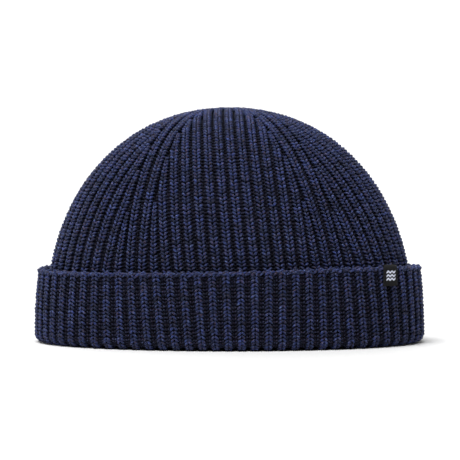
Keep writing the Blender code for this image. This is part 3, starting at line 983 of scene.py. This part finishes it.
def label_strip(columns=12):
    """A closed strip that follows the cuff's section from behind the edge down the shown face.

    The outer skin lies at gap + thickness over the crests and the inner one at the gap. The strip
    is a little thinner at its long edges. It hangs upright: as the cuff leans in, each row moves
    round by slope * (inset - inset at the edge) to keep its X.
    """
    down = (SECTION_HEIGHT >= CUFF_HEIGHT - LABEL_FRONT) & (SECTION_LENGTH < FACE_LENGTH)
    inset, height, length = (a[down] for a in (SECTION_INSET, SECTION_HEIGHT, SECTION_LENGTH))
    angle, girth = girth_table(CUFF_WIDTH / 2, CUFF_DEPTH / 2)
    middle = np.interp(LABEL_PLACE, angle, girth)
    across = np.linspace(-1, 1, columns) * LABEL_WIDTH / 2
    places = np.interp(middle + across, girth, angle)
    upright = (inset[:, None] - cuff_lean(CUFF_HEIGHT)) * LABEL_SLOPE + places
    places = 2 * upright - turned_up(height[:, None], upright)[1] - CUFF_TURN
    point, out = cuff_points(
        places, inset[:, None], height[:, None], INSET_RATE[down][:, None],
        HEIGHT_RATE[down][:, None],
    )
    thin = LABEL_THICKNESS * (1 - 0.5 * (np.abs(across) / (LABEL_WIDTH / 2)) ** 6)
    outer = point + out * (LABEL_GAP + thin)[None, :, None]
    inner = point + out * LABEL_GAP
    ring = np.concatenate([outer, inner[:, ::-1]], axis=1)
    rows, around, _ = ring.shape
    quads, corner_row, corner_column = grid_quads(rows, around, closed_columns=True)
    side = np.concatenate([across, across[::-1]]) / MM
    uv = np.stack([side[corner_column % around], (length[-1] - length)[corner_row] / MM], axis=-1)
    k = np.arange(columns - 1)
    first = np.stack([k, around - 1 - k, around - 2 - k, k + 1], axis=1)
    last = first[:, ::-1] + (rows - 1) * around
    ends = np.concatenate([first, last])
    plain_weave = 0.1
    uv_ends = np.stack([side[ends % around], 0 * ends + plain_weave], axis=-1)
    quads = np.concatenate([quads[:, ::-1], ends])
    return ring.reshape(-1, 3), quads, np.concatenate([uv[:, ::-1], uv_ends])


points, quads, uv = label_strip()
ribbon = mesh_piece("label_ribbon", points, quads, {"knit": uv}, woven)
print("label:", len(quads) * 2, "triangles")

# %% [markdown]
# ## Riding and replacing
#
# The hat has one body, so everything rides on its root. The shells, the yarn and the ribbon stand
# for the solids, which stay in the physics model for collision.

# %% Tie the pieces to the solid
for node, pieces, slot in (
    ("crown", crown_pieces, "navy_knit"),
    ("cuff", cuff_pieces, "navy_knit"),
    ("label", [ribbon], "black_weave"),
):
    for piece in pieces:
        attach(piece, "root")
        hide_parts(node)


def ring_area(points):
    """Area and largest girth of a skin given as rows of points round the hat.

    The area is the sum over rows of the mean girth times the step to the next row.
    """
    girth = np.linalg.norm(points - np.roll(points, 1, axis=1), axis=2).sum(axis=1)
    step = np.linalg.norm(np.diff(points, axis=0), axis=2).mean(axis=1)
    return float(((girth[1:] + girth[:-1]) / 2 * step).sum()), float(girth.max())


crown_area, crown_girth = ring_area(outer_skin.transpose(1, 0, 2))

# The girth table runs one and a half turns on from the front.
print("crown:", round(crown_girth, 3), "x", round(float(crown_length), 3), "m,", round(crown_area, 4))

# %% [markdown]
# ## Floor, light and camera
#
# The photograph is a plain shop picture on white. The floor is pale and runs far back to a white
# wall. One wide sun-like light stands high at the front left, a weaker one behind the hat brightens
# its top edge, and the room gives the rest.

# %% Floor and wall
MATT = {"Roughness": 0.9, "Specular IOR Level": 0.2}
GLOW = {"Emission Color": (1.0, 1.0, 1.0, 1.0), "Emission Strength": 1.0}
floor_paint, _, _ = new_material("floor_paint", {**MATT, "Base Color": (0.74, 0.74, 0.74, 1.0)})
wall_paint, _, _ = new_material("wall_paint", {**MATT, **GLOW, "Base Color": (0.8, 0.8, 0.8, 1.0)})


def flat_sheet(name, corners, material):
    """A single quad that belongs to the room and not to the hat."""
    quads = np.array([[0, 1, 2, 3]])
    uv = np.array([[(0, 0), (1, 0), (1, 1), (0, 1)]])
    sheet = mesh_piece(name, np.array(corners, dtype=float), quads, {"knit": uv}, material)


# The room is larger than the camera's distance, so nothing hides the hat from any side.
HALF_ROOM, WALL_HEIGHT = 8.0, 6.7
flat_sheet("floor", [(-HALF_ROOM, -HALF_ROOM, 0), (HALF_ROOM, -HALF_ROOM, 0),
                     (HALF_ROOM, HALF_ROOM, 0), (-HALF_ROOM, HALF_ROOM, 0)], floor_paint)
flat_sheet("wall", [(-HALF_ROOM, HALF_ROOM, 0), (HALF_ROOM, HALF_ROOM, 0),
                    (HALF_ROOM, HALF_ROOM, WALL_HEIGHT), (-HALF_ROOM, HALF_ROOM, WALL_HEIGHT)],
           wall_paint)


# %% Lights
def soft_sun(name, comes_from, energy, angle):
    """A wide sun: the direction its light comes from, its energy and its angle in degrees."""
    lamp = bpy.data.lights.new(name, "SUN")
    lamp.energy, lamp.angle = energy, math.radians(angle)
    sun = bpy.data.objects.new(name, lamp)
    sun.rotation_euler = Vector(comes_from).to_track_quat("Z", "Y").to_euler()
    bpy.context.scene.collection.objects.link(sun)


soft_sun("high_sun", (-0.18, -0.3, 1.0), 3.7, 40)
soft_sun("rim_sun", (-0.35, 0.7, 0.6), 1.4, 60)
world = bpy.data.worlds.new("white_room")
world.use_nodes = True
background = world.node_tree.nodes["Background"]
background.inputs["Color"].default_value = (1.0, 1.0, 1.0, 1.0)
background.inputs["Strength"].default_value = 0.18
bpy.context.scene.world = world
bpy.context.scene.view_settings.view_transform = "Standard"

# %% Camera
CAMERA_RISE = math.radians(3.8)
CAMERA_DISTANCE = 5.0
PHOTO_PIXELS, PIXEL_SIZE = 460, 0.5627 * MM
SENSOR_WIDTH = 36
aim = np.array([0.3 * MM, 0.0, 63.0 * MM])
lens = bpy.data.cameras.new("camera")
lens.sensor_width = SENSOR_WIDTH
lens.lens = SENSOR_WIDTH * CAMERA_DISTANCE / (PHOTO_PIXELS * PIXEL_SIZE)
camera = bpy.data.objects.new("camera", lens)
bpy.context.scene.collection.objects.link(camera)
back_and_up = np.array([0, -math.cos(CAMERA_RISE), math.sin(CAMERA_RISE)])
camera.location = aim + CAMERA_DISTANCE * back_and_up
camera.rotation_euler = (math.pi / 2 - CAMERA_RISE, 0, 0)
bpy.context.scene.camera = camera
print("lens", round(lens.lens), "mm")
